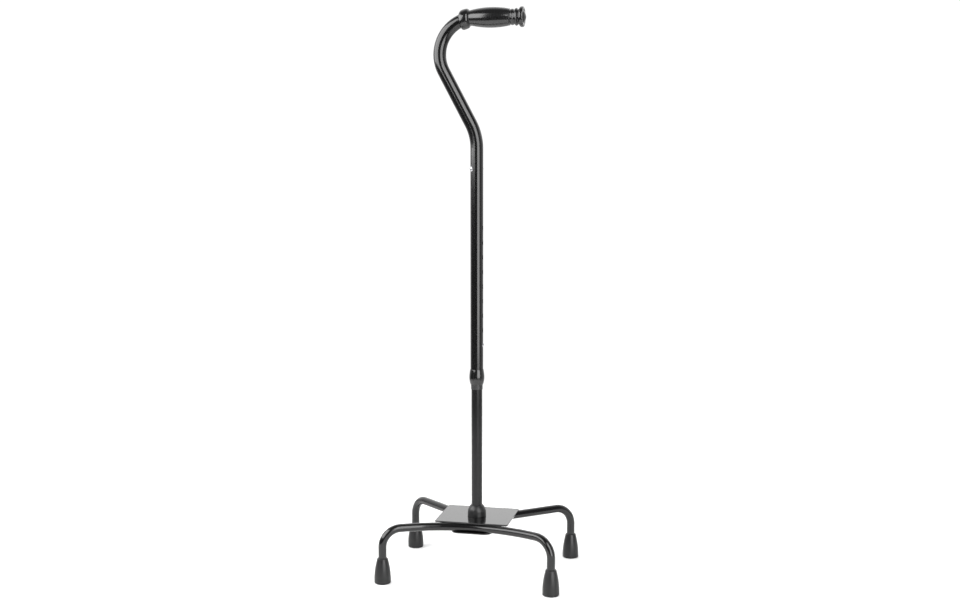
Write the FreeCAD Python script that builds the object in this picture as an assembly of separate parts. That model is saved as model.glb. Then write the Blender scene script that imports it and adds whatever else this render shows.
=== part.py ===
import FreeCAD, Part
import math
import os

# Quad walking cane: a swan-neck handle tube that slides and turns on a lower tube, which stands
# on a base of two bent leg tubes clamped between two plates. Millimetres, +Z up, the floor at z = 0,
# the origin at the middle of the footprint, +X towards the open end of the hand grip and the
# straight front of the base at -Y, the side nearer to the shaft.

# ---- Driving dimensions: base ----
FOOT_SPAN_X = 296.0          # between tip centres, left to right
FOOT_SPAN_Y = 217.0          # between tip centres, front to rear
SHAFT_SETBACK = 88.0         # shaft axis behind the front feet
LEG_AXIS_Z = 95.0            # centreline of the leg tubes above the floor
LEG_OD = 14.3
LEG_WALL = 1.5
LEG_BEND_R = 32.0            # bend from each leg into its arm
FRONT_BOW_DEG = 27.0         # the front arms leave the feet at this angle to X
BOW_STRAIGHT = 4.0           # straight left between a leg bend and the bow
REAR_CORNER_SETBACK = 2.0    # where the rear arms would meet, behind the shaft axis
REAR_APEX_SETBACK = 21.0     # rounded apex of the rear tube, behind the shaft axis

PLATE_W = 130.0
PLATE_FRONT = 48.5           # front edge before the shaft axis, just over the front tube
PLATE_REAR = 58.5            # rear edge behind the shaft axis
PLATE_T = 2.5
PLATE_CORNER_R = 4.0
CLAMP_W = 72.0
CLAMP_FRONT = 52.5           # front and rear edges of the clamp plate, from the shaft axis
CLAMP_REAR = 36.0
CLAMP_CORNER_R = 14.0
EDGE_R = 0.5                 # broken edges of both plates

WELD_H = 3.2                 # height of a weld bead beside a tube
WELD_ROOT = 1.2              # open root where tube and plate touch, half its width
WELD_THROAT = 2.4            # how far a bead reaches out from the tube
WELD_L = 18.0
TOP_WELD_X = 40.0            # welds under the base plate, either side of the shaft
LOW_WELD_X = 14.0            # welds over the clamp plate

TIP_H = 44.0
TIP_BOTTOM_R = 14.3
TIP_BELLY_R = 14.5
TIP_BELLY_Z = 7.0
TIP_WAIST_R = 13.2
TIP_TOP_WALL = 1.5
TIP_EDGE_R = 1.8
TIP_SOLE = 10.0              # rubber under the washer
TIP_GROOVES = ((4.6, 6.2), (9.2, 10.8))
TIP_GROOVE_DEPTH = 1.2
TIP_WASHER_T = 2.0
TIP_WASHER_BORE_R = 2.5

# ---- Driving dimensions: foot of the shaft ----
BOLT_R = 4.0
BOLT_GAP = 0.2               # round the bolt in the plates, the spacer and the socket floor
BOLT_GRIP = 22.0             # length of bolt inside the plug
BOLT_HEAD_H = 5.3
BOLT_HEAD_ACROSS = 13.0
WASHER_T = 1.6
WASHER_R = 8.0
SPACER_R = 8.0
SOCKET_WALL = 3.0
SOCKET_FLOOR = 2.0
SOCKET_H = 13.0
BOOT_WALL = 3.8              # boot round the socket
BOOT_SHOULDER = 8.5          # height of the straight part of the boot
BOOT_CHEEK = 2.1             # drawn in by this much two thirds of the way up
BOOT_H = 20.0
BOOT_LIP = 0.6               # thickness of the boot round the tube
PLUG_H = 30.0

# ---- Driving dimensions: shaft ----
UPPER_OD = 22.2
UPPER_WALL = 1.3
TUBE_GAP = 0.3               # all round, between the two tubes
LOWER_WALL = 1.2
BUTTON_ABOVE_PLATE = 305.5   # button axis above the base plate
HOLE_COUNT = 9
HOLE_PITCH = 25.4
HOLE_GAP = 0.2               # round the button in the height holes
TUBE_BELOW_HOLE = 60.0       # upper tube below its lowest hole
STOP_ABOVE_HOLES = 101.6     # stop rivet above the highest hole
NECK_ABOVE_HOLES = 137.0     # lower bend starts above the highest hole
SLIDE_GAP = 6.0              # left between the two stops when the cane is shortest

# ---- Driving dimensions: neck and grip ----
NECK_LEAN_DEG = 28.2
LOWER_BEND_R = 88.0
NECK_STRAIGHT = 100.0
UPPER_BEND_R = 61.0
GRIP_TUBE = 76.0             # straight tube inside the grip
GRIP_OVERHANG = 9.4          # grip beyond the end of the tube
WAIST_WALL = 1.8             # vinyl over the tube, from here down to the grooves
BELLY_WALL = 6.2
SHOULDER_WALL = 3.0
BEAD_WALLS = (2.6, 3.8)      # the bead beside the flange is the larger one
GROOVE_WALL = 1.5
END_FLANGE_WALL = 6.3
FRONT_FLANGE_WALL = 6.2
WAIST_BACK = 8.0             # the barrel starts this far back in the bend
BELLY_BACK = 30.0            # fullest part of the barrel, before its end
BEAD_L = 5.6
GROOVE_L = 1.4
END_FLARE_L = 8.6
FRONT_FLANGE_L = 18.5
FRONT_FLANGE_DEG = 15.0      # along the upper bend, before its end
FRONT_FLANGE_LEAN_DEG = 6.0  # the flange leans less than the tube does there
END_PLUG_INSET = 0.6         # plug head inside the outside of the tube
END_PLUG_DOME = 3.6
END_PLUG_STEM = 14.0
END_PLUG_FIT = 0.1

# ---- Driving dimensions: stop, collar and collet ----
RIVET_R = 2.5
RIVET_HEAD_R = 4.4
RIVET_HEAD_H = 2.4
RIVET_TAIL_R = 3.6
RIVET_TAIL_H = 1.5
RIVET_TURN_DEG = 225.0       # head faces front left, measured from +X
STOP_BUSH_L = 16.0
STOP_BUSH_BORE_R = 3.2

FERRULE_WALL = 0.8
FERRULE_L = 9.5
THREAD_GAP = 0.05
COLLAR_TOP_GAP = 1.0         # over the ferrule
COLLAR_NOSE = 6.0            # tapered nose above the ferrule cavity
COLLAR_WALL = 1.25           # round the thread at the belly
COLLAR_BELLY_UP = 4.0        # belly above the end of the upper tube
COLLAR_SKIRT = 6.5           # wall under the collet flange
COLLAR_LIP = 0.5             # wall at the tip of the nose
COLLAR_SKIRT_WALL = 0.6      # wall at the bottom edge
COLLAR_RIBS = 12
COLLAR_RIB_R = 0.45
COLLET_FLANGE_T = 3.4
COLLET_FLANGE_WALL = 1.2     # round the lower tube
COLLET_SKIRT = 8.4           # collet showing below the collar
COLLET_WALL = 0.8
COLLET_TIP_WALL = 0.6
COLLET_SLOTS = 4
COLLET_SLOT_W = 1.2
END_PLAY = 0.2
RUNNING_GAP = 0.1            # collet on the lower tube, and round the skirt
GUIDE_GAP = 0.2              # top guide inside the upper tube
GUIDE_T = 6.0
GUIDE_STEM = 14.0

# ---- Driving dimensions: snap button ----
BUTTON_R = 3.6
BUTTON_GAP = 0.1             # round the button in the lower tube
BUTTON_PROUD = 1.5
BUTTON_LIP = 1.0             # flange round the button
BUTTON_FLANGE_T = 1.0
BUTTON_WALL_GAP = 0.3        # flange to the inside of the lower tube
SPRING_T = 0.7
SPRING_W = 6.0
SPRING_UP = 38.0             # height of the bend above the button
SPRING_DOWN = 9.0            # length of each leaf below the button
SPRING_WALL_GAP = 0.15

# ---- Places worked out from the dimensions ----
V = FreeCAD.Vector
UP = V(0, 0, 1)
RIGHT = V(1, 0, 0)

FOOT_X = FOOT_SPAN_X / 2
FRONT_Y = -FOOT_SPAN_Y / 2
REAR_Y = FOOT_SPAN_Y / 2
SHAFT_Y = FRONT_Y + SHAFT_SETBACK
LEG_R = LEG_OD / 2
LEG_END_Z = TIP_SOLE + TIP_WASHER_T
FEET = {
    "front_left": (-FOOT_X, FRONT_Y),
    "front_right": (FOOT_X, FRONT_Y),
    "rear_left": (-FOOT_X, REAR_Y),
    "rear_right": (FOOT_X, REAR_Y),
}

PLATE_BOTTOM = LEG_AXIS_Z + LEG_R
PLATE_TOP = PLATE_BOTTOM + PLATE_T
CLAMP_TOP = LEG_AXIS_Z - LEG_R
CLAMP_BOTTOM = CLAMP_TOP - PLATE_T
BOLT_HOLE_R = BOLT_R + BOLT_GAP

UPPER_R = UPPER_OD / 2
UPPER_BORE_R = UPPER_R - UPPER_WALL
LOWER_R = UPPER_BORE_R - TUBE_GAP
LOWER_BORE_R = LOWER_R - LOWER_WALL
SOCKET_R = LOWER_R + SOCKET_WALL
BOOT_R = SOCKET_R + BOOT_WALL
HOLE_R = BUTTON_R + HOLE_GAP
BUTTON_FLANGE_R = BUTTON_R + BUTTON_LIP
LOWER_END_Z = PLATE_TOP + SOCKET_FLOOR
LOW_HOLE_Z = PLATE_TOP + BUTTON_ABOVE_PLATE
TOP_HOLE_Z = LOW_HOLE_Z + (HOLE_COUNT - 1) * HOLE_PITCH
TRAVEL = TOP_HOLE_Z - LOW_HOLE_Z
UPPER_END_Z = LOW_HOLE_Z - TUBE_BELOW_HOLE
RIVET_Z = TOP_HOLE_Z + STOP_ABOVE_HOLES
STOP_Z = RIVET_Z - STOP_BUSH_L / 2
GUIDE_TOP_Z = STOP_Z - TRAVEL - SLIDE_GAP
LOWER_TOP_Z = GUIDE_TOP_Z - GUIDE_T

LEAN = math.radians(NECK_LEAN_DEG)
BEND_START_Z = TOP_HOLE_Z + NECK_ABOVE_HOLES
NECK_CORNER_Z = BEND_START_Z + LOWER_BEND_R * math.tan(LEAN / 2)
UPPER_BEND_REACH = UPPER_BEND_R * math.tan((math.pi / 2 + LEAN) / 2)
NECK_RUN = LOWER_BEND_R * math.tan(LEAN / 2) + NECK_STRAIGHT + UPPER_BEND_REACH
GRIP_CORNER_X = -NECK_RUN * math.sin(LEAN)
GRIP_Z = NECK_CORNER_Z + NECK_RUN * math.cos(LEAN)
BEND_END_X = GRIP_CORNER_X + UPPER_BEND_REACH
TUBE_END_X = BEND_END_X + GRIP_TUBE
GRIP_END_X = TUBE_END_X + GRIP_OVERHANG
WAIST_X = BEND_END_X - WAIST_BACK
BARREL_END_X = GRIP_END_X - END_FLARE_L - 2 * BEAD_L - 3 * GROOVE_L
WAIST_R = UPPER_R + WAIST_WALL
GROOVE_R = UPPER_R + GROOVE_WALL
END_FLANGE_R = UPPER_R + END_FLANGE_WALL
FRONT_FLANGE_R = UPPER_R + FRONT_FLANGE_WALL
END_PLUG_HEAD_R = UPPER_R - END_PLUG_INSET

FERRULE_R = UPPER_R + FERRULE_WALL
FERRULE_TOP_Z = UPPER_END_Z + FERRULE_L
CAVITY_R = FERRULE_R + THREAD_GAP
COLLAR_BELLY_R = CAVITY_R + COLLAR_WALL
COLLET_FLANGE_R = LOWER_R + COLLET_FLANGE_WALL
COLLET_R = LOWER_R + COLLET_WALL
COLLET_TIP_R = LOWER_R + COLLET_TIP_WALL
CAVITY_TOP_Z = FERRULE_TOP_Z + COLLAR_TOP_GAP
COLLAR_TOP_Z = CAVITY_TOP_Z + COLLAR_NOSE
COLLET_TOP_Z = UPPER_END_Z - END_PLAY
FLANGE_BOTTOM_Z = COLLET_TOP_Z - COLLET_FLANGE_T
CAVITY_BOTTOM_Z = FLANGE_BOTTOM_Z - END_PLAY
COLLAR_BOTTOM_Z = CAVITY_BOTTOM_Z - COLLAR_SKIRT
COLLET_BOTTOM_Z = COLLAR_BOTTOM_Z - COLLET_SKIRT


# ---- Shape helpers ----
def rod(x, y, bottom, top, radius):
    """Upright solid cylinder."""
    return Part.makeCylinder(radius, top - bottom, V(x, y, bottom), UP)


def shaft_rod(bottom, top, radius):
    """Upright solid cylinder on the shaft axis."""
    return rod(0, SHAFT_Y, bottom, top, radius)


def shaft_ring(bottom, top, outer, inner):
    """Upright ring on the shaft axis."""
    return shaft_rod(bottom, top, outer).cut(shaft_rod(bottom, top, inner))


def line(a, b):
    """Straight edge between two profile points."""
    return Part.LineSegment(a, b).toShape()


def arc(a, middle, b):
    """Arc edge through three profile points."""
    return Part.Arc(a, middle, b).toShape()


def turned(edges, centre, axis):
    """Solid of revolution of a closed outline about an axis."""
    face = Part.Face(Part.Wire(edges))
    return face.revolve(centre, axis, 360)


def dome(side_x, side_r, crown_x):
    """Arc of a spherical cap on the X axis, from its rim to its crown."""
    height = crown_x - side_x
    radius = (side_r**2 + height**2) / (2 * height)
    half = math.asin(side_r / radius) / 2
    middle = V(crown_x - radius + radius * math.cos(half), radius * math.sin(half), 0)
    return arc(V(side_x, side_r, 0), middle, V(crown_x, 0, 0))


def rounded_path(points, radii):
    """Wire through the points, with an arc of the given radius at each inner point."""
    edges = []
    start = points[0]
    for before, corner, after, radius in zip(points, points[1:], points[2:], radii):
        back = (before - corner).normalize()
        ahead = (after - corner).normalize()
        half = back.getAngle(ahead) / 2
        reach = radius / math.tan(half)
        bisector = (back + ahead).normalize()
        middle = corner + bisector * (radius / math.sin(half) - radius)
        bend_end = corner + ahead * reach
        edges.append(line(start, corner + back * reach))
        edges.append(arc(corner + back * reach, middle, bend_end))
        start = bend_end
    edges.append(line(start, points[-1]))
    return Part.Wire(edges)


def swept_rod(path, radius):
    """Solid round bar along a path."""
    first = path.Edges[0]
    start = first.valueAt(first.FirstParameter)
    heading = first.tangentAt(first.FirstParameter)
    profile = Part.Wire(Part.makeCircle(radius, start, heading))
    return path.makePipeShell([profile], True, False)


def tube_along(path, outer, inner):
    """Round tube along a path."""
    return swept_rod(path, outer).cut(swept_rod(path, inner))


def rounded_plate(width, front, rear, bottom, corner):
    """Flat plate with rounded corners and broken edges."""
    blank = Part.makeBox(width, rear - front, PLATE_T, V(-width / 2, front, bottom))
    uprights = [e for e in blank.Edges if abs(e.tangentAt(0).z) > 0.9]
    blank = blank.makeFillet(corner, uprights)
    flats = [e for e in blank.Edges if abs(e.BoundBox.ZLength) < PLATE_T / 2]
    return blank.makeFillet(EDGE_R, flats)


# ---- Paths of the three bent tubes ----
def front_path():
    """Front leg tube: two legs joined by one long bow."""
    slope = math.radians(FRONT_BOW_DEG)
    corner_y = FRONT_Y + FOOT_X * math.tan(slope)
    run = FOOT_X / math.cos(slope)
    bow_r = (run - LEG_BEND_R - BOW_STRAIGHT) / math.tan(slope)
    points = [
        V(-FOOT_X, FRONT_Y, LEG_END_Z),
        V(-FOOT_X, FRONT_Y, LEG_AXIS_Z),
        V(0, corner_y, LEG_AXIS_Z),
        V(FOOT_X, FRONT_Y, LEG_AXIS_Z),
        V(FOOT_X, FRONT_Y, LEG_END_Z),
    ]
    return rounded_path(points, [LEG_BEND_R, bow_r, LEG_BEND_R])


def rear_arm_angle():
    """Angle of the rear arms to X, in radians."""
    return math.atan2(REAR_Y - SHAFT_Y - REAR_CORNER_SETBACK, FOOT_X)


def rear_path():
    """Rear leg tube: two legs joined by a V that points at the shaft."""
    apex_r = (REAR_APEX_SETBACK - REAR_CORNER_SETBACK) / (1 / math.cos(rear_arm_angle()) - 1)
    points = [
        V(-FOOT_X, REAR_Y, LEG_END_Z),
        V(-FOOT_X, REAR_Y, LEG_AXIS_Z),
        V(0, SHAFT_Y + REAR_CORNER_SETBACK, LEG_AXIS_Z),
        V(FOOT_X, REAR_Y, LEG_AXIS_Z),
        V(FOOT_X, REAR_Y, LEG_END_Z),
    ]
    return rounded_path(points, [LEG_BEND_R, apex_r, LEG_BEND_R])


def handle_path():
    """Upper tube: straight shaft, swan neck and the level run inside the grip."""
    points = [
        V(0, SHAFT_Y, UPPER_END_Z),
        V(0, SHAFT_Y, NECK_CORNER_Z),
        V(GRIP_CORNER_X, SHAFT_Y, GRIP_Z),
        V(TUBE_END_X, SHAFT_Y, GRIP_Z),
    ]
    return rounded_path(points, [LOWER_BEND_R, UPPER_BEND_R])


# ---- Base ----
def base_plate():
    """Top plate, which the socket stands on."""
    front = SHAFT_Y - PLATE_FRONT
    rear = SHAFT_Y + PLATE_REAR
    plate = rounded_plate(PLATE_W, front, rear, PLATE_BOTTOM, PLATE_CORNER_R)
    return plate.cut(shaft_rod(PLATE_BOTTOM, PLATE_TOP, BOLT_HOLE_R))


def clamp_plate():
    """Smaller plate under both leg tubes."""
    front = SHAFT_Y - CLAMP_FRONT
    rear = SHAFT_Y + CLAMP_REAR
    plate = rounded_plate(CLAMP_W, front, rear, CLAMP_BOTTOM, CLAMP_CORNER_R)
    return plate.cut(shaft_rod(CLAMP_BOTTOM, CLAMP_TOP, BOLT_HOLE_R))


def beads_along(path, front_side):
    """Fillet welds along one leg tube, behind it and, where there is room, in front of it."""
    tube = swept_rod(path, LEG_R)
    root = swept_rod(path, WELD_ROOT)
    skin = swept_rod(path, LEG_R + WELD_THROAT).cut(tube)
    skin = skin.cut(root.translated(V(0, 0, LEG_R))).cut(root.translated(V(0, 0, -LEG_R)))
    beads = []
    for middle, low in ((TOP_WELD_X, PLATE_BOTTOM - WELD_H), (LOW_WELD_X, CLAMP_TOP)):
        for x in (-middle, middle):
            slab = Part.makeBox(WELD_L, FOOT_SPAN_Y, WELD_H, V(x - WELD_L / 2, FRONT_Y, low))
            axis_y = tube.common(slab).Solids[0].CenterOfMass.y
            for bead in skin.common(slab).Solids:
                if front_side or bead.CenterOfMass.y > axis_y:
                    beads.append(bead)
    return beads


def weld_beads():
    """Fillet welds where the leg tubes touch the two plates."""
    return Part.makeCompound(beads_along(front_path(), False) + beads_along(rear_path(), True))


def tip(x, y):
    """Flared rubber tip, open at the top for the leg and grooved underneath."""
    top_r = LEG_R + TIP_TOP_WALL
    knee = V(TIP_BELLY_R, 0, TIP_BELLY_Z)
    shoulder = V(top_r + 0.9, 0, TIP_H - 2.0)
    crown_turn = V(top_r + 0.5, 0, TIP_H - 0.5)
    waist = V(TIP_WAIST_R, 0, (TIP_BELLY_Z + TIP_H) / 2 - 1.0)
    foot_turn = V(TIP_BOTTOM_R - 0.3 * TIP_EDGE_R, 0, 0.3 * TIP_EDGE_R)
    edges = [
        line(V(0, 0, 0), V(TIP_BOTTOM_R - TIP_EDGE_R, 0, 0)),
        arc(V(TIP_BOTTOM_R - TIP_EDGE_R, 0, 0), foot_turn, V(TIP_BOTTOM_R, 0, TIP_EDGE_R)),
        line(V(TIP_BOTTOM_R, 0, TIP_EDGE_R), knee),
        arc(knee, waist, shoulder),
        arc(shoulder, crown_turn, V(top_r - 0.6, 0, TIP_H)),
        line(V(top_r - 0.6, 0, TIP_H), V(0, 0, TIP_H)),
        line(V(0, 0, TIP_H), V(0, 0, 0)),
    ]
    body = turned(edges, V(0, 0, 0), UP)
    body = body.cut(rod(0, 0, TIP_SOLE, TIP_H, LEG_R))
    for inner, outer in TIP_GROOVES:
        groove = rod(0, 0, 0, TIP_GROOVE_DEPTH, outer).cut(rod(0, 0, 0, TIP_GROOVE_DEPTH, inner))
        body = body.cut(groove)
    return body.translated(V(x, y, 0))


def tip_washers():
    """Steel discs in the four tips, under the ends of the legs."""
    washers = []
    for x, y in FEET.values():
        disc = rod(x, y, TIP_SOLE, LEG_END_Z, LEG_R)
        washers.append(disc.cut(rod(x, y, TIP_SOLE, LEG_END_Z, TIP_WASHER_BORE_R)))
    return Part.makeCompound(washers)


# ---- Foot of the shaft ----
def shaft_socket():
    """Steel cup on the base plate that holds the foot of the lower tube."""
    cup = shaft_rod(PLATE_TOP, PLATE_TOP + SOCKET_H, SOCKET_R)
    cup = cup.cut(shaft_rod(LOWER_END_Z, PLATE_TOP + SOCKET_H, LOWER_R))
    return cup.cut(shaft_rod(PLATE_TOP, LOWER_END_Z, BOLT_HOLE_R))


def shaft_boot():
    """Domed cover over the socket."""
    shoulder = V(BOOT_R, 0, BOOT_SHOULDER)
    crown = V(LOWER_R + BOOT_LIP, 0, BOOT_H)
    bulge = V(BOOT_R - BOOT_CHEEK, 0, BOOT_SHOULDER + 0.57 * (BOOT_H - BOOT_SHOULDER))
    edges = [
        line(V(0, 0, 0), V(BOOT_R, 0, 0)),
        line(V(BOOT_R, 0, 0), shoulder),
        arc(shoulder, bulge, crown),
        line(crown, V(0, 0, BOOT_H)),
        line(V(0, 0, BOOT_H), V(0, 0, 0)),
    ]
    dome = turned(edges, V(0, 0, 0), UP).translated(V(0, SHAFT_Y, PLATE_TOP))
    dome = dome.cut(shaft_rod(PLATE_TOP, PLATE_TOP + SOCKET_H, SOCKET_R))
    return dome.cut(shaft_rod(PLATE_TOP, PLATE_TOP + BOOT_H, LOWER_R))


def foot_plug():
    """Threaded plug pressed into the foot of the lower tube."""
    plug = shaft_rod(LOWER_END_Z, LOWER_END_Z + PLUG_H, LOWER_BORE_R)
    return plug.cut(shaft_rod(LOWER_END_Z, LOWER_END_Z + BOLT_GRIP, BOLT_R))


def shaft_bolt():
    """Hexagon bolt from below, through both plates into the plug."""
    head_top = CLAMP_BOTTOM - WASHER_T
    radius = BOLT_HEAD_ACROSS / math.sqrt(3)
    corners = []
    for k in range(7):
        turn = math.radians(60 * k)
        x = radius * math.cos(turn)
        y = SHAFT_Y + radius * math.sin(turn)
        corners.append(V(x, y, head_top - BOLT_HEAD_H))
    head = Part.Face(Part.makePolygon(corners)).extrude(V(0, 0, BOLT_HEAD_H))
    return head.fuse(shaft_rod(head_top, LOWER_END_Z + BOLT_GRIP, BOLT_R)).removeSplitter()


def bolt_washer():
    """Washer under the head of the shaft bolt."""
    return shaft_ring(CLAMP_BOTTOM - WASHER_T, CLAMP_BOTTOM, WASHER_R, BOLT_HOLE_R)


def plate_spacer():
    """Sleeve round the bolt that keeps the two plates apart."""
    return shaft_ring(CLAMP_TOP, PLATE_BOTTOM, SPACER_R, BOLT_HOLE_R)


# ---- Lower tube and snap button ----
def lower_tube():
    """Inner tube of the shaft, with one hole for the button."""
    tube = shaft_ring(LOWER_END_Z, LOWER_TOP_Z, LOWER_R, LOWER_BORE_R)
    start = V(0, SHAFT_Y, LOW_HOLE_Z)
    return tube.cut(Part.makeCylinder(BUTTON_R + BUTTON_GAP, LOWER_R + 1, start, RIGHT))


def top_guide():
    """Nylon plug that centres the top of the lower tube in the upper tube."""
    head = shaft_rod(LOWER_TOP_Z, GUIDE_TOP_Z, UPPER_BORE_R - GUIDE_GAP)
    top_edge = [e for e in head.Edges if e.BoundBox.ZMin > GUIDE_TOP_Z - 0.1]
    head = head.makeChamfer(1.0, top_edge)
    return head.fuse(shaft_rod(LOWER_TOP_Z - GUIDE_STEM, LOWER_TOP_Z, LOWER_BORE_R))


def button_back_x():
    """Inner face of the button's flange, from the shaft axis."""
    chord = math.sqrt(LOWER_BORE_R**2 - BUTTON_FLANGE_R**2)
    return chord - BUTTON_WALL_GAP - BUTTON_FLANGE_T


def snap_button():
    """Domed button with a flange that keeps it in the lower tube."""
    back = button_back_x()
    flange_face = back + BUTTON_FLANGE_T
    crown = UPPER_R + BUTTON_PROUD
    shank_end = crown - 0.45 * BUTTON_R
    edges = [
        line(V(back, 0, 0), V(back, BUTTON_FLANGE_R, 0)),
        line(V(back, BUTTON_FLANGE_R, 0), V(flange_face, BUTTON_FLANGE_R, 0)),
        line(V(flange_face, BUTTON_FLANGE_R, 0), V(flange_face, BUTTON_R, 0)),
        line(V(flange_face, BUTTON_R, 0), V(shank_end, BUTTON_R, 0)),
        dome(shank_end, BUTTON_R, crown),
        line(V(crown, 0, 0), V(back, 0, 0)),
    ]
    return turned(edges, V(0, 0, 0), RIGHT).translated(V(0, SHAFT_Y, LOW_HOLE_Z))


def snap_spring():
    """Leaf spring bent into a hairpin, behind the button and against the far wall."""
    inner_x = button_back_x() - SPRING_T / 2
    chord = math.sqrt(LOWER_BORE_R**2 - (SPRING_W / 2) ** 2)
    outer_x = -(chord - SPRING_WALL_GAP - SPRING_T / 2)
    bend_r = (inner_x - outer_x) / 2
    bend_x = (inner_x + outer_x) / 2
    foot = LOW_HOLE_Z - SPRING_DOWN
    bend_z = LOW_HOLE_Z + SPRING_UP
    solids = []
    for x in (inner_x, outer_x):
        corner = V(x - SPRING_T / 2, SHAFT_Y - SPRING_W / 2, foot)
        solids.append(Part.makeBox(SPRING_T, SPRING_W, bend_z - foot, corner))
    start = V(bend_x, SHAFT_Y - SPRING_W / 2, bend_z)
    along = V(0, 1, 0)
    bend = Part.makeCylinder(bend_r + SPRING_T / 2, SPRING_W, start, along)
    bend = bend.cut(Part.makeCylinder(bend_r - SPRING_T / 2, SPRING_W, start, along))
    upper_half = V(bend_x - 2 * bend_r, SHAFT_Y - SPRING_W, bend_z)
    bend = bend.common(Part.makeBox(4 * bend_r, 2 * SPRING_W, 2 * bend_r, upper_half))
    return bend.fuse(solids).removeSplitter()


# ---- Handle ----
def rivet_axis():
    """Direction in which the head of the stop rivet faces."""
    turn = math.radians(RIVET_TURN_DEG)
    return V(math.cos(turn), math.sin(turn), 0)


def rivet_shank():
    """Shank of the stop rivet, through both walls."""
    axis = rivet_axis()
    start = V(0, SHAFT_Y, RIVET_Z) - axis * UPPER_R
    return Part.makeCylinder(RIVET_R, UPPER_OD, start, axis)


def handle_tube():
    """Upper tube with the row of height holes drilled right through."""
    tube = tube_along(handle_path(), UPPER_R, UPPER_BORE_R)
    for k in range(HOLE_COUNT):
        start = V(-UPPER_OD, SHAFT_Y, LOW_HOLE_Z + k * HOLE_PITCH)
        tube = tube.cut(Part.makeCylinder(HOLE_R, 2 * UPPER_OD, start, RIGHT))
    return tube.cut(rivet_shank())


def stop_rivet():
    """Rivet with a domed head, which holds the stop bush in the upper tube."""
    axis = rivet_axis()
    middle = V(0, SHAFT_Y, RIVET_Z)
    bar = shaft_rod(RIVET_Z - UPPER_OD, RIVET_Z + UPPER_OD, UPPER_R)
    rivet = rivet_shank().common(bar)
    ends = ((axis, RIVET_HEAD_R, RIVET_HEAD_H), (axis * -1, RIVET_TAIL_R, RIVET_TAIL_H))
    for facing, radius, height in ends:
        seat = math.sqrt(UPPER_R**2 - radius**2)
        sphere_r = (radius**2 + height**2) / (2 * height)
        ball = Part.makeSphere(sphere_r, middle + facing * (UPPER_R + height - sphere_r))
        disc = Part.makeCylinder(radius, UPPER_R + height - seat, middle + facing * seat, facing)
        rivet = rivet.fuse(ball.common(disc).cut(bar))
    return rivet.removeSplitter()


def stop_bush():
    """Nylon bush that the lower tube's guide stops against when the cane is shortest."""
    bush = shaft_ring(STOP_Z, STOP_Z + STOP_BUSH_L, UPPER_BORE_R, STOP_BUSH_BORE_R)
    return bush.cut(rivet_shank())


def grip_barrel():
    """Turned part of the grip: barrel, two beads and the end flange."""
    bead_starts = [BARREL_END_X + GROOVE_L, BARREL_END_X + 2 * GROOVE_L + BEAD_L]
    flare_x = GRIP_END_X - END_FLARE_L
    crest_x = GRIP_END_X - 0.55 * END_FLARE_L
    rim_x = GRIP_END_X - 2.6
    face_r = END_FLANGE_R - 2.6
    shoulder = V(BARREL_END_X, UPPER_R + SHOULDER_WALL, 0)
    belly = V(BARREL_END_X - BELLY_BACK, UPPER_R + BELLY_WALL, 0)
    edges = [
        line(V(WAIST_X, 0, 0), V(WAIST_X, WAIST_R, 0)),
        arc(V(WAIST_X, WAIST_R, 0), belly, shoulder),
        line(shoulder, V(BARREL_END_X, GROOVE_R, 0)),
    ]
    here = BARREL_END_X
    for start, wall in zip(bead_starts, BEAD_WALLS):
        end = start + BEAD_L
        crest = V((start + end) / 2, UPPER_R + wall, 0)
        edges.append(line(V(here, GROOVE_R, 0), V(start, GROOVE_R, 0)))
        edges.append(arc(V(start, GROOVE_R, 0), crest, V(end, GROOVE_R, 0)))
        here = end
    flare_turn = V(0.7 * flare_x + 0.3 * crest_x, 0.45 * GROOVE_R + 0.55 * END_FLANGE_R, 0)
    crest = V(crest_x, END_FLANGE_R - 0.1, 0)
    rim = V(rim_x, END_FLANGE_R - 0.1, 0)
    rim_turn = V(GRIP_END_X - 0.6, END_FLANGE_R - 1.0, 0)
    edges += [
        line(V(here, GROOVE_R, 0), V(flare_x, GROOVE_R, 0)),
        arc(V(flare_x, GROOVE_R, 0), flare_turn, crest),
        arc(crest, V((crest_x + rim_x) / 2, END_FLANGE_R, 0), rim),
        arc(rim, rim_turn, V(GRIP_END_X, face_r, 0)),
        line(V(GRIP_END_X, face_r, 0), V(GRIP_END_X, 0, 0)),
        line(V(GRIP_END_X, 0, 0), V(WAIST_X, 0, 0)),
    ]
    return turned(edges, V(0, 0, 0), RIGHT).translated(V(0, SHAFT_Y, GRIP_Z))


def grip_front_flange():
    """Rounded flange round the end of the bend."""
    half = FRONT_FLANGE_L / 2
    turn = math.radians(FRONT_FLANGE_DEG)
    low = V(-half, FRONT_FLANGE_R - 3.4, 0)
    near = V(-0.5 * half, FRONT_FLANGE_R - 0.5, 0)
    far = V(0.4 * half, FRONT_FLANGE_R - 0.6, 0)
    edges = [
        line(V(-half, 0, 0), low),
        arc(low, V(-half + 1.5, FRONT_FLANGE_R - 1.7, 0), near),
        arc(near, V(-0.5, FRONT_FLANGE_R, 0), far),
        line(far, V(half, WAIST_R, 0)),
        line(V(half, WAIST_R, 0), V(half, 0, 0)),
        line(V(half, 0, 0), V(-half, 0, 0)),
    ]
    flange = turned(edges, V(0, 0, 0), RIGHT)
    flange.rotate(V(0, 0, 0), V(0, 1, 0), -FRONT_FLANGE_LEAN_DEG)
    x = BEND_END_X - UPPER_BEND_R * math.sin(turn)
    z = GRIP_Z - UPPER_BEND_R * (1 - math.cos(turn))
    return flange.translated(V(x, SHAFT_Y, z))


def hand_grip():
    """Vinyl grip moulded over the end of the upper tube."""
    grip = grip_barrel().fuse(grip_front_flange())
    grip = grip.cut(swept_rod(handle_path(), UPPER_R))
    start = V(TUBE_END_X, SHAFT_Y, GRIP_Z)
    recess = Part.makeCylinder(END_PLUG_HEAD_R, GRIP_END_X - TUBE_END_X, start, RIGHT)
    return grip.cut(recess)


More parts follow.
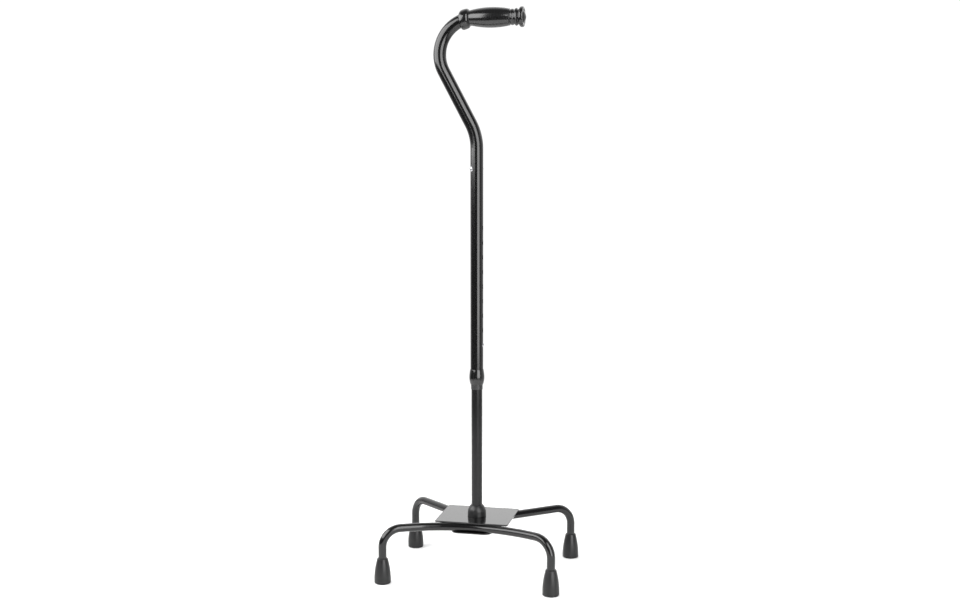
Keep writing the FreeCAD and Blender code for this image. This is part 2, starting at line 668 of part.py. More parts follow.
def grip_end_plug():
    """Domed plug in the open end of the upper tube."""
    stem_r = UPPER_BORE_R - END_PLUG_FIT
    start = TUBE_END_X - END_PLUG_STEM
    side = GRIP_END_X - 0.8
    crown = GRIP_END_X + END_PLUG_DOME
    edges = [
        line(V(start, 0, 0), V(start, stem_r, 0)),
        line(V(start, stem_r, 0), V(TUBE_END_X, stem_r, 0)),
        line(V(TUBE_END_X, stem_r, 0), V(TUBE_END_X, END_PLUG_HEAD_R, 0)),
        line(V(TUBE_END_X, END_PLUG_HEAD_R, 0), V(side, END_PLUG_HEAD_R, 0)),
        dome(side, END_PLUG_HEAD_R, crown),
        line(V(crown, 0, 0), V(start, 0, 0)),
    ]
    return turned(edges, V(0, 0, 0), RIGHT).translated(V(0, SHAFT_Y, GRIP_Z))


# ---- Collar ----
def thread_ferrule():
    """Threaded sleeve fixed on the lower end of the upper tube."""
    return shaft_ring(UPPER_END_Z, FERRULE_TOP_Z, FERRULE_R, UPPER_R)


def lock_collar():
    """Barrel-shaped nut with grip ribs that squeezes the collet."""
    belly_z = UPPER_END_Z + COLLAR_BELLY_UP
    top = V(UPPER_R + COLLAR_LIP, 0, COLLAR_TOP_Z)
    belly = V(COLLAR_BELLY_R, 0, belly_z)
    low = V(COLLET_R + RUNNING_GAP + COLLAR_SKIRT_WALL, 0, COLLAR_BOTTOM_Z)
    rise = V(0.4 * top.x + 0.6 * belly.x, 0, 0.55 * COLLAR_TOP_Z + 0.45 * belly_z)
    drop = V(0.3 * low.x + 0.7 * belly.x, 0, 0.6 * COLLAR_BOTTOM_Z + 0.4 * belly_z)
    edges = [
        line(V(0, 0, COLLAR_BOTTOM_Z), low),
        arc(low, drop, belly),
        arc(belly, rise, top),
        line(top, V(0, 0, COLLAR_TOP_Z)),
        line(V(0, 0, COLLAR_TOP_Z), V(0, 0, COLLAR_BOTTOM_Z)),
    ]
    nut = turned(edges, V(0, 0, 0), UP).translated(V(0, SHAFT_Y, 0))
    for k in range(COLLAR_RIBS):
        turn = 2 * math.pi * (k + 0.5) / COLLAR_RIBS
        x = (COLLAR_BELLY_R + 0.2 * COLLAR_RIB_R) * math.cos(turn)
        y = SHAFT_Y + (COLLAR_BELLY_R + 0.2 * COLLAR_RIB_R) * math.sin(turn)
        nut = nut.cut(rod(x, y, COLLAR_BOTTOM_Z, COLLAR_TOP_Z, COLLAR_RIB_R))
    nut = nut.cut(shaft_rod(COLLET_TOP_Z, CAVITY_TOP_Z, CAVITY_R))
    nut = nut.cut(shaft_rod(CAVITY_BOTTOM_Z, COLLET_TOP_Z, COLLET_FLANGE_R + END_PLAY))
    nut = nut.cut(shaft_rod(CAVITY_TOP_Z, COLLAR_TOP_Z, UPPER_R + RUNNING_GAP))
    return nut.cut(shaft_rod(COLLAR_BOTTOM_Z, CAVITY_BOTTOM_Z, COLLET_R + RUNNING_GAP))


def lock_collet():
    """Split nylon bush between the tubes, which the collar squeezes on the lower tube."""
    edges = [
        line(V(0, 0, COLLET_BOTTOM_Z), V(COLLET_TIP_R, 0, COLLET_BOTTOM_Z)),
        line(V(COLLET_TIP_R, 0, COLLET_BOTTOM_Z), V(COLLET_R, 0, COLLAR_BOTTOM_Z)),
        line(V(COLLET_R, 0, COLLAR_BOTTOM_Z), V(COLLET_R, 0, FLANGE_BOTTOM_Z)),
        line(V(COLLET_R, 0, FLANGE_BOTTOM_Z), V(COLLET_FLANGE_R, 0, FLANGE_BOTTOM_Z)),
        line(V(COLLET_FLANGE_R, 0, FLANGE_BOTTOM_Z), V(COLLET_FLANGE_R, 0, COLLET_TOP_Z)),
        line(V(COLLET_FLANGE_R, 0, COLLET_TOP_Z), V(0, 0, COLLET_TOP_Z)),
        line(V(0, 0, COLLET_TOP_Z), V(0, 0, COLLET_BOTTOM_Z)),
    ]
    bush = turned(edges, V(0, 0, 0), UP).translated(V(0, SHAFT_Y, 0))
    bush = bush.cut(shaft_rod(COLLET_BOTTOM_Z, COLLET_TOP_Z, LOWER_R + RUNNING_GAP))
    slot_h = FLANGE_BOTTOM_Z - COLLET_BOTTOM_Z
    for k in range(COLLET_SLOTS):
        slot = Part.makeBox(COLLET_R + 1, COLLET_SLOT_W, slot_h, V(0, -COLLET_SLOT_W / 2, 0))
        slot.rotate(V(0, 0, 0), UP, 360.0 * (k + 0.5) / COLLET_SLOTS)
        bush = bush.cut(slot.translated(V(0, SHAFT_Y, COLLET_BOTTOM_Z)))
    return bush


# ---- The assembly ----
def all_nodes():
    """Every piece by its name."""
    nodes = {
        "base_plate": base_plate(),
        "clamp_plate": clamp_plate(),
        "front_leg_tube": tube_along(front_path(), LEG_R, LEG_R - LEG_WALL),
        "rear_leg_tube": tube_along(rear_path(), LEG_R, LEG_R - LEG_WALL),
        "weld_beads": weld_beads(),
        "tip_washers": tip_washers(),
        "shaft_socket": shaft_socket(),
        "shaft_boot": shaft_boot(),
        "foot_plug": foot_plug(),
        "shaft_bolt": shaft_bolt(),
        "bolt_washer": bolt_washer(),
        "plate_spacer": plate_spacer(),
        "lower_tube": lower_tube(),
        "top_guide": top_guide(),
        "snap_button": snap_button(),
        "snap_spring": snap_spring(),
        "lock_collet": lock_collet(),
        "handle_tube": handle_tube(),
        "hand_grip": hand_grip(),
        "grip_end_plug": grip_end_plug(),
        "stop_rivet": stop_rivet(),
        "stop_bush": stop_bush(),
        "thread_ferrule": thread_ferrule(),
        "lock_collar": lock_collar(),
    }
    for name, (x, y) in FEET.items():
        nodes[name + "_tip"] = tip(x, y)
    return nodes


os.makedirs("parts", exist_ok=True)
for node, shape in all_nodes().items():
    shape.exportStep("parts/" + node + ".step")
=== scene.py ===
import math

import bmesh
import bpy
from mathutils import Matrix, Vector, noise


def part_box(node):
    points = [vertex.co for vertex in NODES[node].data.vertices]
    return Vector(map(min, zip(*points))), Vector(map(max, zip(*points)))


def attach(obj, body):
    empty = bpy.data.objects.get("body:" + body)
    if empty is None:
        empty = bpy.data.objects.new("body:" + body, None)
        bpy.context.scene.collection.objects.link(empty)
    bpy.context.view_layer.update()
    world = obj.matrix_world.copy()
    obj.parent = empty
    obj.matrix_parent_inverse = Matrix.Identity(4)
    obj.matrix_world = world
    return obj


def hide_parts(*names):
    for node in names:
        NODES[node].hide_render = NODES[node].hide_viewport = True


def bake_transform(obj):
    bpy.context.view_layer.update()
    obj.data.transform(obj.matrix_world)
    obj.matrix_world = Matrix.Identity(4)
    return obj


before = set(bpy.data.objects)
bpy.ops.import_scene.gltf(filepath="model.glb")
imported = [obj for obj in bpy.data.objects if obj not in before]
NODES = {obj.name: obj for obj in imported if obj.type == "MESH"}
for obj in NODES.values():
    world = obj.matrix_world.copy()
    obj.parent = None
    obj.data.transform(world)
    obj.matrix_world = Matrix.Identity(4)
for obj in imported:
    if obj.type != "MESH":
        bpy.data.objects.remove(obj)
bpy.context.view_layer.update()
MM = 0.001
RING_STEPS = 96                  # points round each turned piece
SEAM_NARROW = 0.005              # a mould seam rises where cos squared is within this of 1
UP = Vector((0, 0, 1))
ACROSS = Vector((1, 0, 0))
AWAY = Vector((0, 1, 0))

# Camera
CAMERA_AT = (0.5077, -2.2601, 0.7549)
CAMERA_DEG = (12.636, 6.625)     # looks back along this azimuth, and down by this much
VIEW_DEG = 12.8                  # about the camera's azimuth; the studio is laid out round it
LENS_MM = 49.94

# Floor and backdrop
FLOOR_R = 1.6
FLOOR_FADE_FROM = 0.9
FLOOR_DROP = 0.0002              # below the tips, so that no faces coincide
BACKDROP_R = 12.0

# Soft boxes: azimuth, distance, lower and upper height, width, radiance, height that they face
SOFT_BOXES = {
    "right_box": (41.0, 2.2, 0.0, 3.2, 1.6, 5.9, 1.6),
    "left_box": (-57.0, 2.0, 0.69, 2.7, 2.9, 6.2, 1.695),
    "front_box": (17.0, 2.6, 1.5, 2.1, 0.7, 6.0, 0.1),
}

# Rubber tips
TIPS = ("front_left_tip", "front_right_tip", "rear_left_tip", "rear_right_tip")
TIP_BORE = 7.2 * MM
TIP_SOLE = 10.0 * MM
TIP_LIP = 8.65 * MM              # radius that the top edge is built out from
TIP_WAIST_Z = 24.5 * MM
TIP_WAIST_IN = 1.3 * MM          # the wall there is this far inside the belly
TIP_RINGS = ((4.6, 6.2), (9.2, 10.8))    # radii in mm between which the sole is grooved
TIP_RING_DEPTH = 1.2 * MM
TIP_SEAM = 0.22 * MM

# Boot
BOOT_SHOULDER = 8.5 * MM
BOOT_CLEAR = 0.03 * MM           # round the tube

# Grip; what ends in AT or SEAT is measured along the tube from the grip's free end
GRIP_BEND_X = -4.0 * MM          # x in the frame where the tube inside starts to bend
GRIP_BEND_R = 61.0 * MM
GRIP_LEAN = 0.4                  # rings lean this share of the tube's own turn
GRIP_SEAM = 0.14 * MM            # height of the mould seam
GRIP_PLUG_SEAT = 9.4 * MM
GROOVE_WALL = 1.5 * MM           # vinyl over the tube
WAIST_WALL = 1.8 * MM
SHOULDER_WALL = 3.0 * MM
BELLY_WALL = 6.2 * MM
SHOULDER_AT = 24.0 * MM
BELLY_AT = 54.0 * MM
WAIST_PAST_BEND = 7.0 * MM
BEADS = ((10.0 * MM, 2.3 * MM), (17.0 * MM, 1.1 * MM))    # where each starts, and its rise
BEAD_L = 5.6 * MM
BEAD_STEPS = 12
BORE_STEPS = 12

# Welds
WELD_GRID = 0.5 * MM             # size of the new mesh's cells
WELD_RIPPLE = 0.16 * MM          # how far its points move
WELD_PITCH = 1.9 * MM            # from one ripple to the next
WELD_LUMP = 3.0 * MM             # size of the uneven lumps


# ---- Camera, light and floor ----
def toward(azimuth, elevation=0.0):
    """Unit vector from the object. Azimuth 0 is straight in front, 90 on the right."""
    a = math.radians(azimuth)
    e = math.radians(elevation)
    return Vector((math.sin(a) * math.cos(e), -math.cos(a) * math.cos(e), math.sin(e)))


def make_camera():
    """Camera in front, a little to the right and above the middle of the shaft."""
    camera = bpy.data.objects.new("camera", bpy.data.cameras.new("camera"))
    bpy.context.scene.collection.objects.link(camera)
    camera.data.lens = LENS_MM
    camera.data.sensor_width = 36.0
    camera.data.clip_start = 0.05
    camera.data.clip_end = 60.0
    camera.location = CAMERA_AT
    camera.rotation_mode = "QUATERNION"
    camera.rotation_quaternion = (-toward(*CAMERA_DEG)).to_track_quat("-Z", "Y")
    bpy.context.scene.camera = camera


def soft_box(name, azimuth, distance, low, high, width, radiance, aim_height):
    """Soft light as tall as low to high and centred between them, facing the shaft at aim_height."""
    height = high - low
    light = bpy.data.lights.new(name, "AREA")
    light.shape = "RECTANGLE"
    light.size = width
    light.size_y = height
    light.energy = radiance * math.pi * width * height
    lamp = bpy.data.objects.new(name, light)
    bpy.context.scene.collection.objects.link(lamp)
    lamp.location = toward(azimuth) * distance + UP * (low + high) / 2
    lamp.rotation_mode = "QUATERNION"
    lamp.rotation_quaternion = (UP * aim_height - lamp.location).to_track_quat("-Z", "Y")
    lamp.visible_camera = False


def make_world():
    """Studio seen in the gloss: bright behind the object, grey on the right, dark in front."""
    world = bpy.data.worlds.new("studio")
    bpy.context.scene.world = world
    world.use_nodes = True
    tree = world.node_tree
    background = tree.nodes["Background"]
    place = tree.nodes.new("ShaderNodeTexCoord").outputs["Generated"]

    def wash(direction, start, end, low, high):
        """Strength from low to high, as the cosine to the direction goes from start to end."""
        facing = tree.nodes.new("ShaderNodeVectorMath")
        facing.operation = "DOT_PRODUCT"
        facing.inputs[1].default_value = direction
        tree.links.new(place, facing.inputs[0])
        ramp = tree.nodes.new("ShaderNodeMapRange")
        ramp.interpolation_type = "SMOOTHSTEP"
        for key, value in (("From Min", start), ("From Max", end), ("To Min", low), ("To Max", high)):
            ramp.inputs[key].default_value = value
        tree.links.new(facing.outputs["Value"], ramp.inputs["Value"])
        return ramp.outputs["Result"]

    def combine(operation, a, b):
        """Two strengths through one Math node."""
        node = tree.nodes.new("ShaderNodeMath")
        node.operation = operation
        tree.links.new(a, node.inputs[0])
        tree.links.new(b, node.inputs[1])
        return node.outputs[0]

    behind = wash(-toward(VIEW_DEG), -0.1, 0.75, 0.13, 1.8)
    horizon = wash(UP, 0.05, 0.2, 0.5, 1.0)
    right = wash(toward(VIEW_DEG + 90), 0.8, 0.98, 0.0, 0.6)
    total = combine("ADD", combine("MULTIPLY", behind, horizon), right)
    tree.links.new(total, background.inputs["Strength"])
    background.inputs["Color"].default_value = (1.0, 1.0, 1.0, 1.0)


def make_floor():
    """Round pale floor that fades into a white backdrop."""
    mesh = bpy.data.meshes.new("floor")
    bm = bmesh.new()
    bmesh.ops.create_circle(bm, cap_ends=True, segments=RING_STEPS, radius=FLOOR_R)
    bm.to_mesh(mesh)
    bm.free()
    floor = bpy.data.objects.new("floor", mesh)
    floor.location = (0, 0, -FLOOR_DROP)
    bpy.context.scene.collection.objects.link(floor)
    f = Finish("pale_floor")
    reach = f.add("ShaderNodeVectorMath", operation="LENGTH")
    f.link(f.place, reach.inputs[0])
    f.set(Base_Color=(0.92, 0.92, 0.92), Roughness=0.6, Specular_IOR_Level=0.2)
    f.set(Alpha=f.spread(reach.outputs["Value"], FLOOR_FADE_FROM, FLOOR_R, 1.0, 0.0))
    mesh.materials.append(f.material)

    dome_mesh = bpy.data.meshes.new("backdrop")
    bm = bmesh.new()
    bmesh.ops.create_icosphere(bm, subdivisions=3, radius=BACKDROP_R)
    bm.to_mesh(dome_mesh)
    bm.free()
    dome = bpy.data.objects.new("backdrop", dome_mesh)
    bpy.context.scene.collection.objects.link(dome)
    for ray in ("glossy", "diffuse", "shadow", "transmission"):
        setattr(dome, "visible_" + ray, False)
    white = Finish("white_backdrop")
    white.set(Base_Color=(0, 0, 0), Emission_Color=(1, 1, 1), Emission_Strength=1.05)
    dome_mesh.materials.append(white.material)


# ---- Materials ----
class Finish:
    """A material built from nodes, with short calls for the usual steps."""

    def __init__(self, name):
        self.material = bpy.data.materials.new(name)
        self.material.use_nodes = True
        self.tree = self.material.node_tree
        self.shader = self.tree.nodes["Principled BSDF"]
        self.place = self.add("ShaderNodeTexCoord").outputs["Object"]

    def add(self, kind, **values):
        node = self.tree.nodes.new(kind)
        for key, value in values.items():
            setattr(node, key, value)
        return node

    def link(self, source, target):
        self.tree.links.new(source, target)

    def noise(self, scale, detail, rough=0.5, stretch=(1, 1, 1)):
        """Cloudy noise, in features per metre. A stretch below 1 draws it out along that axis."""
        mapping = self.add("ShaderNodeMapping")
        mapping.inputs["Scale"].default_value = stretch
        self.link(self.place, mapping.inputs["Vector"])
        node = self.add("ShaderNodeTexNoise")
        node.inputs["Scale"].default_value = scale
        node.inputs["Detail"].default_value = detail
        node.inputs["Roughness"].default_value = rough
        self.link(mapping.outputs["Vector"], node.inputs["Vector"])
        return node.outputs["Fac"]

    def spread(self, source, low, high, to_low, to_high):
        """Maps low..high to to_low..to_high with soft ends."""
        node = self.add("ShaderNodeMapRange")
        node.interpolation_type = "SMOOTHSTEP"
        for key, value in (("From Min", low), ("From Max", high), ("To Min", to_low), ("To Max", to_high)):
            node.inputs[key].default_value = value
        self.link(source, node.inputs["Value"])
        return node.outputs["Result"]

    def blend(self, factor, a, b):
        """Colour a where the factor is 0 and b where it is 1."""
        node = self.add("ShaderNodeMix", data_type="RGBA")
        for key, value in ((6, a), (7, b)):
            if isinstance(value, tuple):
                node.inputs[key].default_value = (*value, 1.0)
            else:
                self.link(value, node.inputs[key])
        self.link(factor, node.inputs[0])
        return node.outputs[2]

    def combine(self, operation, a, b):
        """Two values or sockets through one Math node."""
        node = self.add("ShaderNodeMath", operation=operation)
        for k, value in enumerate((a, b)):
            if isinstance(value, (int, float)):
                node.inputs[k].default_value = value
            else:
                self.link(value, node.inputs[k])
        return node.outputs[0]

    def edges(self, radius, scale=140.0):
        """Up to 1 along edges, in patches, and 0 on flat and gently curved faces."""
        soft = self.add("ShaderNodeBevel", samples=4)
        soft.inputs["Radius"].default_value = radius
        plain = self.add("ShaderNodeNewGeometry")
        match = self.add("ShaderNodeVectorMath", operation="DOT_PRODUCT")
        self.link(soft.outputs["Normal"], match.inputs[0])
        self.link(plain.outputs["Normal"], match.inputs[1])
        near = self.spread(match.outputs["Value"], 0.86, 0.99, 1.0, 0.0)
        return self.combine("MULTIPLY", near, self.spread(self.noise(scale, 4.0, 0.6), 0.45, 0.6, 0.0, 1.0))

    def bump(self, height, depth):
        """Relief of that depth, in metres."""
        node = self.add("ShaderNodeBump")
        node.inputs["Distance"].default_value = depth
        node.inputs["Strength"].default_value = 1.0
        self.link(height, node.inputs["Height"])
        self.link(node.outputs["Normal"], self.shader.inputs["Normal"])

    def set(self, **values):
        """Constants go on the shader's own sockets, and node outputs are linked to them."""
        for key, value in values.items():
            socket = self.shader.inputs[key.replace("_", " ")]
            if hasattr(value, "is_linked"):
                self.link(value, socket)
            elif isinstance(value, tuple):
                socket.default_value = (*value, 1.0)
            else:
                socket.default_value = value


def shades(grey, factor):
    """A neutral grey, multiplied."""
    return (grey * factor, grey * factor, grey * factor * 1.04)


def enamel(name, grey, rough, peel, rub, specular=0.5):
    """Black enamel: fine orange peel, handling marks drawn along the tube, worn edges."""
    f = Finish(name)
    cloud = f.noise(14.0, 4.0)
    marks = f.noise(320.0, 3.0, 0.6, stretch=(1, 1, 0.035))
    worn = f.edges(0.0006)
    coat = f.blend(cloud, shades(grey, 0.75), shades(grey, 1.3))
    f.set(Base_Color=f.blend(worn, coat, shades(0.11, 1.0)))
    rubbed = f.spread(marks, 0.56, 0.74, 0.0, rub)
    clouded = f.spread(cloud, 0.3, 0.7, rough * 0.88, rough * 1.15)
    f.set(Roughness=f.combine("ADD", f.combine("ADD", clouded, rubbed), f.combine("MULTIPLY", worn, 0.2)))
    f.set(Specular_IOR_Level=specular)
    f.bump(f.noise(750.0, 2.0), peel)
    return f.material


def rubber(name, grey, rough, grain, dust, specular=0.5):
    """Moulded rubber or vinyl: fine grain, cloudy bloom, paler scuffed edges."""
    f = Finish(name)
    cloud = f.noise(55.0, 5.0, 0.6)
    fine = f.noise(1900.0, 3.0, 0.65)
    scuffed = f.edges(0.0009, 260.0)
    body = f.blend(cloud, shades(grey, 0.7), shades(grey, 1.35))
    f.set(Base_Color=f.blend(f.combine("MULTIPLY", scuffed, dust), body, shades(0.16, 1.0)))
    clouded = f.spread(cloud, 0.3, 0.7, rough * 0.85, rough * 1.2)
    f.set(Roughness=f.combine("ADD", clouded, f.combine("MULTIPLY", scuffed, 0.15)))
    f.set(Specular_IOR_Level=specular)
    f.bump(f.combine("ADD", fine, f.combine("MULTIPLY", cloud, 0.6)), grain)
    return f.material


def metal(name, grey, rough):
    """Plated steel with fine drawn lines and brighter edges."""
    f = Finish(name)
    lines = f.noise(420.0, 2.0, stretch=(1, 1, 0.05))
    spots = f.noise(90.0, 5.0, 0.6)
    plate = f.blend(lines, shades(grey, 0.78), shades(grey, 1.0))
    dulled = f.blend(f.spread(spots, 0.55, 0.75, 0.0, 0.5), plate, shades(grey, 0.55))
    worn = f.edges(0.0003, 400.0)
    f.set(Base_Color=f.blend(worn, dulled, shades(min(0.9, grey * 1.25), 1.0)), Metallic=1.0)
    f.set(Roughness=f.spread(spots, 0.3, 0.75, rough * 0.8, rough * 1.6))
    f.bump(lines, 0.00001)
    return f.material


# ---- Shapes ----
def rounded(corners, steps=6):
    """Outline through (along, radius, rounding) corners; a rounding of 0 leaves the corner sharp."""
    outline = []
    for k, (x, y, size) in enumerate(corners):
        here = Vector((x, y))
        if size == 0:
            outline.append(here)
            continue
        back = (Vector(corners[k - 1][:2]) - here).normalized()
        ahead = (Vector(corners[k + 1][:2]) - here).normalized()
        for step in range(steps + 1):
            t = step / steps
            outline.append(here + back * size * (1 - t) ** 2 + ahead * size * t**2)
    return outline


def swell(first, middle, last, steps=18):
    """Smooth curve of radius through three (along, radius) points."""
    curve = []
    for step in range(steps + 1):
        x = first[0] + (last[0] - first[0]) * step / steps
        total = 0.0
        for point in (first, middle, last):
            share = point[1]
            for other in (first, middle, last):
                if other is not point:
                    share *= (x - other[0]) / (point[0] - other[0])
            total += share
        curve.append(Vector((x, total)))
    return curve


def circle(centre, across, up, radius, seam=0.0, seam_at=math.pi / 4):
    """Ring of points, with a low mould seam on two opposite sides."""
    ring = []
    for k in range(RING_STEPS):
        turn = 2 * math.pi * k / RING_STEPS
        ridge = seam * max(0.0, math.cos(turn - seam_at) ** 2 - 1 + SEAM_NARROW) / SEAM_NARROW
        r = radius + ridge
        ring.append(centre + across * (r * math.cos(turn)) + up * (r * math.sin(turn)))
    return ring


def skin(name, rings, start=None, end=None):
    """Closed mesh through the rings. With no end points it closes on itself, as a sleeve does."""
    bm = bmesh.new()
    rows = [[bm.verts.new(point) for point in ring] for ring in rings]
    pairs = list(zip(rows, rows[1:]))
    if start is None:
        pairs.append((rows[-1], rows[0]))
    for low, high in pairs:
        for k in range(RING_STEPS):
            n = (k + 1) % RING_STEPS
            bm.faces.new((low[k], low[n], high[n], high[k]))
    for point, row in ((start, rows[0]), (end, rows[-1])):
        if point is not None:
            pole = bm.verts.new(point)
            for k in range(RING_STEPS):
                bm.faces.new((row[k], row[(k + 1) % RING_STEPS], pole))
    bmesh.ops.recalc_face_normals(bm, faces=bm.faces)
    mesh = bpy.data.meshes.new(name)
    bm.to_mesh(mesh)
    bm.free()
    for face in mesh.polygons:
        face.use_smooth = True
    piece = bpy.data.objects.new(name, mesh)
    bpy.context.scene.collection.objects.link(piece)
    piece.modifiers.new("even_shading", "WEIGHTED_NORMAL")
    return piece


def settle(piece, slot, node):
    """Material of a finished piece, and the CAD node that it stands for."""
    piece.data.materials.clear()
    piece.data.materials.append(FINISHES[slot])
    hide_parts(node)


# ---- Pieces ----
def build_tip(node):
    """Flared rubber tip: ringed sole, rolled foot, convex wall, thin lip round the leg."""
    low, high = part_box(node)
    middle = Vector(((low[0] + high[0]) / 2, (low[1] + high[1]) / 2, low[2]))
    height = high[2] - low[2]
    belly = (high[0] - low[0]) / 2
    outline = [Vector((0.0, 2.0 * MM))]
    for inner, outer in TIP_RINGS:
        groove = [(0.0, inner), (TIP_RING_DEPTH, inner), (TIP_RING_DEPTH, outer), (0.0, outer)]
        walls = [(0.0, (inner - 1.0) * MM, 0)]
        walls += [(z, r * MM, 0.25 * MM) for z, r in groove]
        walls += [(0.0, (outer + 1.0) * MM, 0)]
        outline += rounded(walls, 3)
    foot = [(0.0, belly - 2.6 * MM, 0), (0.0, belly - 0.2 * MM, 1.8 * MM), (6.0 * MM, belly, 0)]
    outline += rounded(foot)
    waist = (TIP_WAIST_Z, belly - TIP_WAIST_IN)
    outline += swell((7.0 * MM, belly), waist, (height - 2.0 * MM, TIP_LIP + 0.9 * MM))
    top = [(height - 1.6 * MM, TIP_LIP + 0.8 * MM, 0), (height, TIP_LIP + 0.5 * MM, 1.1 * MM)]
    top += [(height, TIP_BORE, 0.5 * MM), (height - 1.2 * MM, TIP_BORE, 0), (TIP_SOLE, TIP_BORE, 0)]
    outline += rounded(top)
    rings = []
    for along, radius in outline:
        on_wall = 2 * MM < along < height - 3 * MM and radius > TIP_BORE
        seam = TIP_SEAM if on_wall else 0.0
        rings.append(circle(middle + UP * along, ACROSS, AWAY, radius, seam))
    piece = skin(node + "_rubber", rings, middle, middle + UP * TIP_SOLE)
    settle(piece, "black_rubber", node)
    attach(piece, "base")


def build_boot():
    """Domed rubber boot over the socket, with a rolled lip round the tube."""
    low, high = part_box("shaft_boot")
    middle = Vector(((low[0] + high[0]) / 2, (low[1] + high[1]) / 2, low[2]))
    foot = (high[0] - low[0]) / 2
    height = high[2] - low[2]
    socket_low, socket_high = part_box("shaft_socket")
    socket = (socket_high[0] - socket_low[0]) / 2
    step = socket_high[2] - low[2]
    tube_low, tube_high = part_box("lower_tube")
    tube = (tube_high[0] - tube_low[0]) / 2 + BOOT_CLEAR
    shoulder = (BOOT_SHOULDER, foot - 0.3 * MM)
    bulge = (0.7 * height + 1.2 * MM, foot - 2.3 * MM)
    crown = (height - 0.7 * MM, tube + 1.5 * MM)
    hem = [(0.0, socket, 0), (0.0, foot, 0.5 * MM), (1.5 * MM, foot, 0.5 * MM)]
    outline = rounded(hem + [(*shoulder, 0)])
    outline += swell(shoulder, bulge, crown, 14)[1:]
    lip = [(*crown, 0), (height, tube + 0.7 * MM, 0.4 * MM), (height, tube, 0.2 * MM)]
    outline += rounded(lip + [(step, tube, 0), (step, socket, 0)])[1:]
    rings = [circle(middle + UP * along, ACROSS, AWAY, radius) for along, radius in outline]
    piece = skin("boot_rubber", rings)
    settle(piece, "black_rubber", "shaft_boot")
    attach(piece, "base")


def build_grip():
    """Vinyl grip: end flange, two beads, barrel, and a flange that leans with the bend."""
    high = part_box("hand_grip")[1]
    plug_low, plug_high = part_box("grip_end_plug")
    end = Vector((high[0], (plug_low[1] + plug_high[1]) / 2, (plug_low[2] + plug_high[2]) / 2))
    plug = (plug_high[1] - plug_low[1]) / 2
    tube_low, tube_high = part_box("handle_tube")
    tube = (tube_high[1] - tube_low[1]) / 2
    straight = high[0] - GRIP_BEND_X
    flange = high[1] - end.y - GRIP_SEAM - 0.05 * MM
    groove = tube + GROOVE_WALL
    waist = tube + WAIST_WALL
    waist_at = straight + WAIST_PAST_BEND

    def place(along, radius, lean):
        """Ring at a distance along the tube, tilted by that share of the tube's turn."""
        turn = max(0.0, along - straight) / GRIP_BEND_R
        run = min(along, straight)
        back = Vector((-run - GRIP_BEND_R * math.sin(turn), 0, -GRIP_BEND_R * (1 - math.cos(turn))))
        tilt = turn * lean
        up = Vector((-math.sin(tilt), 0, math.cos(tilt)))
        return circle(end + back, AWAY, up, radius, GRIP_SEAM, math.pi / 2)

    face = [(0.7 * MM, plug, 0), (0.7 * MM, plug + 1.3 * MM, 0.5 * MM), (0.0, plug + 2.6 * MM, 0.7 * MM)]
    face += [(0.0, flange, 2.4 * MM), (6.0 * MM, flange, 2.2 * MM), (8.6 * MM, groove, 0.7 * MM)]
    outline = rounded(face + [(9.8 * MM, groove, 0)], 8)
    for start, rise in BEADS:
        for step in range(BEAD_STEPS + 1):
            t = step / BEAD_STEPS
            outline.append(Vector((start + BEAD_L * t, groove + rise * math.sin(math.pi * t) ** 0.7)))
    shoulder = (SHOULDER_AT, tube + SHOULDER_WALL)
    climb = [(22.8 * MM, groove, 0), (23.8 * MM, groove, 0.4 * MM), (*shoulder, 0.5 * MM)]
    climb += [(SHOULDER_AT + 2 * MM, tube + 3.25 * MM, 0)]
    outline += rounded(climb, 4)
    barrel = swell(shoulder, (BELLY_AT, tube + BELLY_WALL), (waist_at, waist), 30)
    outline += barrel[2:-1]
    last = waist_at + 18.2 * MM
    hump = [(waist_at, waist + 0.3 * MM, 0), (waist_at + 0.6 * MM, waist, 0.5 * MM)]
    hump += [(waist_at + 3.6 * MM, flange - 0.7 * MM, 2.0 * MM), (waist_at + 8.5 * MM, flange, 2.4 * MM)]
    hump += [(waist_at + 15.0 * MM, flange - 0.3 * MM, 2.4 * MM), (last, flange - 3.4 * MM, 1.2 * MM)]
    outline += rounded(hump + [(last, tube + 0.6 * MM, 0)], 8)
    rings = [place(along, radius, GRIP_LEAN) for along, radius in outline]
    bore = tube + 0.02 * MM
    for step in range(BORE_STEPS + 1):
        rings.append(place(last + (straight - last) * step / BORE_STEPS, bore, 1.0))
    rings.append(place(GRIP_PLUG_SEAT, bore, 1.0))
    rings.append(place(GRIP_PLUG_SEAT, plug, 1.0))
    piece = skin("grip_vinyl", rings)
    settle(piece, "grip_vinyl", "hand_grip")
    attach(piece, "handle")


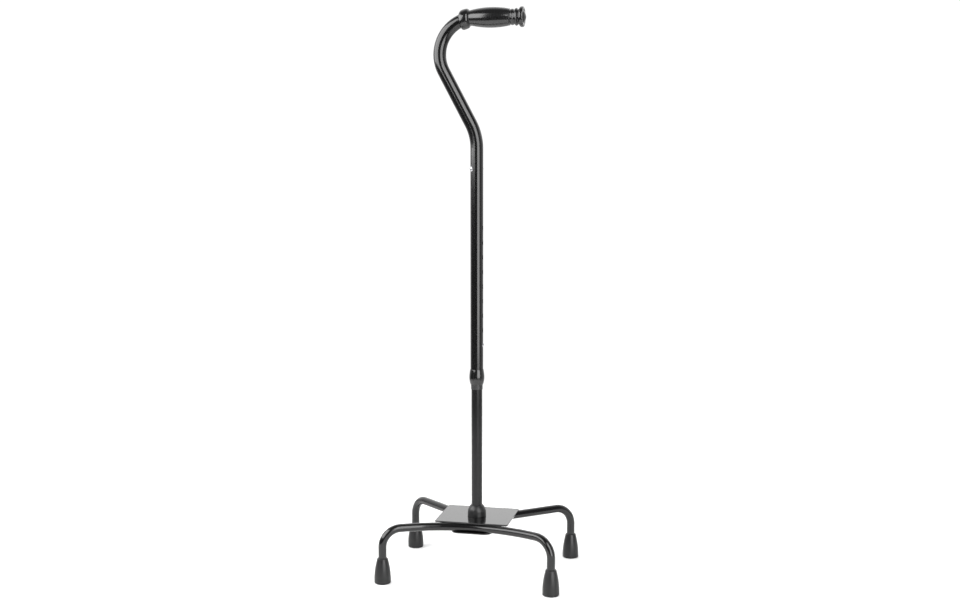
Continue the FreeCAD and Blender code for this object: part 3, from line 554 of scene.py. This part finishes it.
def build_welds():
    """Rippled weld beads, grown from the frame's plain ones."""
    source = NODES["weld_beads"]
    rough = bpy.data.objects.new("weld_blank", source.data.copy())
    bpy.context.scene.collection.objects.link(rough)
    remesh = rough.modifiers.new("even_grid", "REMESH")
    remesh.mode = "VOXEL"
    remesh.voxel_size = WELD_GRID
    bpy.context.view_layer.update()
    mesh = bpy.data.meshes.new_from_object(rough.evaluated_get(bpy.context.evaluated_depsgraph_get()))
    bpy.data.objects.remove(rough)
    moves = []
    for vertex in mesh.vertices:
        wave = math.sin(2 * math.pi * vertex.co.x / WELD_PITCH)
        lumps = noise.noise(vertex.co / WELD_LUMP)
        moves.append(vertex.normal * (WELD_RIPPLE * (wave + 0.8 * lumps)))
    for vertex, move in zip(mesh.vertices, moves):
        vertex.co += move
    for face in mesh.polygons:
        face.use_smooth = True
    piece = bpy.data.objects.new("weld_runs", mesh)
    bpy.context.scene.collection.objects.link(piece)
    settle(piece, "gloss_black_steel", "weld_beads")
    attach(piece, "base")


def build_spring():
    """Leaf spring in the lower tube, copied from the frame's spring with its place baked in."""
    piece = bpy.data.objects.new("spring_leaf", NODES["snap_spring"].data.copy())
    bpy.context.scene.collection.objects.link(piece)
    settle(piece, "spring_steel", "snap_spring")
    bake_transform(piece)


# ---- The scene ----
FINISHES = {
    "gloss_black_tube": enamel("gloss_black_tube", 0.0035, 0.15, 0.0000022, 0.06),
    "satin_black_tube": enamel("satin_black_tube", 0.0035, 0.22, 0.000003, 0.06, 0.33),
    "gloss_black_steel": enamel("gloss_black_steel", 0.0035, 0.13, 0.000003, 0.04),
    "black_rubber": rubber("black_rubber", 0.008, 0.34, 0.000012, 0.25, 0.35),
    "grip_vinyl": rubber("grip_vinyl", 0.0045, 0.18, 0.0000025, 0.08, 0.65),
    "black_moulding": rubber("black_moulding", 0.003, 0.15, 0.0000025, 0.03, 0.6),
    "black_nylon": rubber("black_nylon", 0.015, 0.38, 0.00002, 0.3),
    "natural_nylon": rubber("natural_nylon", 0.55, 0.42, 0.00002, 0.2),
    "bright_steel": metal("bright_steel", 0.5, 0.22),
    "zinc_steel": metal("zinc_steel", 0.5, 0.3),
    "spring_steel": metal("spring_steel", 0.3, 0.28),
}

for node in NODES.values():
    node.data.materials[0] = FINISHES[node.data.materials[0].name.split(".")[0]]

for tip in TIPS:
    build_tip(tip)
build_boot()
build_grip()
build_welds()
build_spring()

make_camera()
make_world()
make_floor()
for name, values in SOFT_BOXES.items():
    soft_box(name, *values)
bpy.context.scene.view_settings.view_transform = "Standard"
